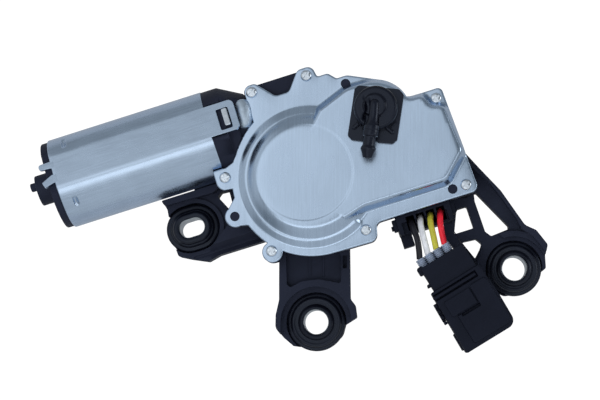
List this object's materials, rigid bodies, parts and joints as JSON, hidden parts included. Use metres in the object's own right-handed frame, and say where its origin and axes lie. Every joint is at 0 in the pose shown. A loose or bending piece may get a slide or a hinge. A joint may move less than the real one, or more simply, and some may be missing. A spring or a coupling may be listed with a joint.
{
  "type": "rear wiper motor",
  "caption": "Geared wiper motor: cylindrical DC motor, stamped-cover gearbox, ribbed rubber-mounted arms, washer inlet, wired plug, swinging hollow output shaft.",
  "frame": {"origin": "on the output shaft's axis, in the plane of the three sleeves' mounting faces", "axes": "+X along the motor's axis from its end cap to the gearbox, +Z from the mounting plane to the cover, output shaft towards -Z"},
  "size_m": [0.221, 0.1522, 0.1022],
  "materials": {
    "zinc_plate": "zinc-plated pressed steel, fine rolled grain",
    "can_steel": "zinc-plated drawn steel",
    "black_moulding": "black glass-filled plastic, satin",
    "black_gloss": "black plastic, semi-gloss",
    "screw_zinc": "bright zinc",
    "rubber": "black rubber, satin",
    "bright_steel": "bright steel",
    "shaft_steel": "ground steel",
    "bronze": "sintered bronze",
    "copper": "enamelled copper",
    "lamination": "stacked electrical steel",
    "ferrite": "ferrite",
    "gear_plastic": "natural acetal",
    "board_green": "circuit board laminate",
    "component_black": "component bodies",
    "terminal_tin": "tinned copper alloy",
    "carbon": "carbon",
    "wire_black": "black insulation",
    "wire_white": "white insulation",
    "wire_yellow": "yellow insulation",
    "wire_red": "red insulation",
    "seal_grey": "grey-blue silicone rubber"
  },
  "bodies": {
    "gearbox": {"cover": "zinc_plate", "gear_housing": "black_moulding", "cover_gasket": "rubber", "cover_screws": "screw_zinc", "arm_left": "black_moulding", "arm_lower": "black_moulding", "arm_right": "black_moulding", "grommet_left": "rubber", "grommet_lower": "rubber", "grommet_right": "rubber", "sleeve_left": "bright_steel", "sleeve_lower": "bright_steel", "sleeve_right": "bright_steel", "motor_can": "can_steel", "end_cap": "black_moulding", "rear_bearing": "bronze", "front_bearing": "bronze", "worm_end_bearing": "bronze", "thrust_button": "gear_plastic", "magnets": "ferrite", "brush_plate": "black_moulding", "brushes": "carbon", "brush_springs": "bright_steel", "chokes": "copper", "wheel_axle": "shaft_steel", "lower_bush": "bronze", "upper_bush": "bronze", "shaft_seal": "rubber", "neck_seal": "rubber", "washer_inlet": "black_gloss", "inlet_seal": "rubber", "control_board": "board_green", "board_parts": "component_black", "hall_sensor": "component_black", "terminal_socket": "black_moulding", "board_pins": "terminal_tin", "can_hook": "bright_steel", "ground_strap": "bright_steel", "plug_housing": "black_moulding", "plug_lock": "black_moulding", "plug_terminals": "terminal_tin", "wire_seals": "seal_grey", "wire_black": "wire_black", "wire_white": "wire_white", "wire_yellow": "wire_yellow", "wire_red": "wire_red"},
    "armature": {"armature_shaft": "shaft_steel", "armature_core": "lamination", "armature_windings": "copper", "commutator": "copper"},
    "wheel": {"worm_wheel": "gear_plastic", "crank_pin": "shaft_steel", "park_magnet": "ferrite"},
    "output": {"output_shaft": "shaft_steel", "output_pinion": "shaft_steel", "retaining_ring": "bright_steel"},
    "rocker": {"rocker_link": "bright_steel", "sector_pivot_pin": "shaft_steel"},
    "rod": {"sector_rod": "bright_steel"}
  },
  "joints": [
    {"name": "armature_spin", "type": "hinge", "parent": "gearbox", "child": "armature", "pos_m": [-0.1, 0.0148, 0.0213], "axis": [1, 0, 0], "continuous": true},
    {"name": "wheel_spin", "type": "hinge", "parent": "gearbox", "child": "wheel", "pos_m": [-0.0375, -0.0175, 0.0213], "axis": [0, 0, 1], "continuous": true},
    {"name": "wiper_sweep", "type": "hinge", "parent": "gearbox", "child": "output", "pos_m": [0, 0, 0], "axis": [0, 0, 1], "range_deg": [0, 115.08]},
    {"name": "rocker_swing", "type": "hinge", "parent": "gearbox", "child": "rocker", "pos_m": [0, 0, 0.0323], "axis": [0, 0, 1], "range_deg": [0, 40.81]},
    {"name": "rod_turn", "type": "hinge", "parent": "rocker", "child": "rod", "pos_m": [-0.00038, -0.02562, 0.0284], "axis": [0, 0, 1], "range_deg": [-30.74, 0]}
  ],
  "couplings": [
    {"joint": "wheel_spin", "follows": "armature_spin", "ratio": 0.018519},
    {"joint": "rocker_swing", "follows": "wiper_sweep", "ratio": 0.35457},
    {"joint": "rod_turn", "follows": "wiper_sweep", "ratio": -0.26708}
  ]
}
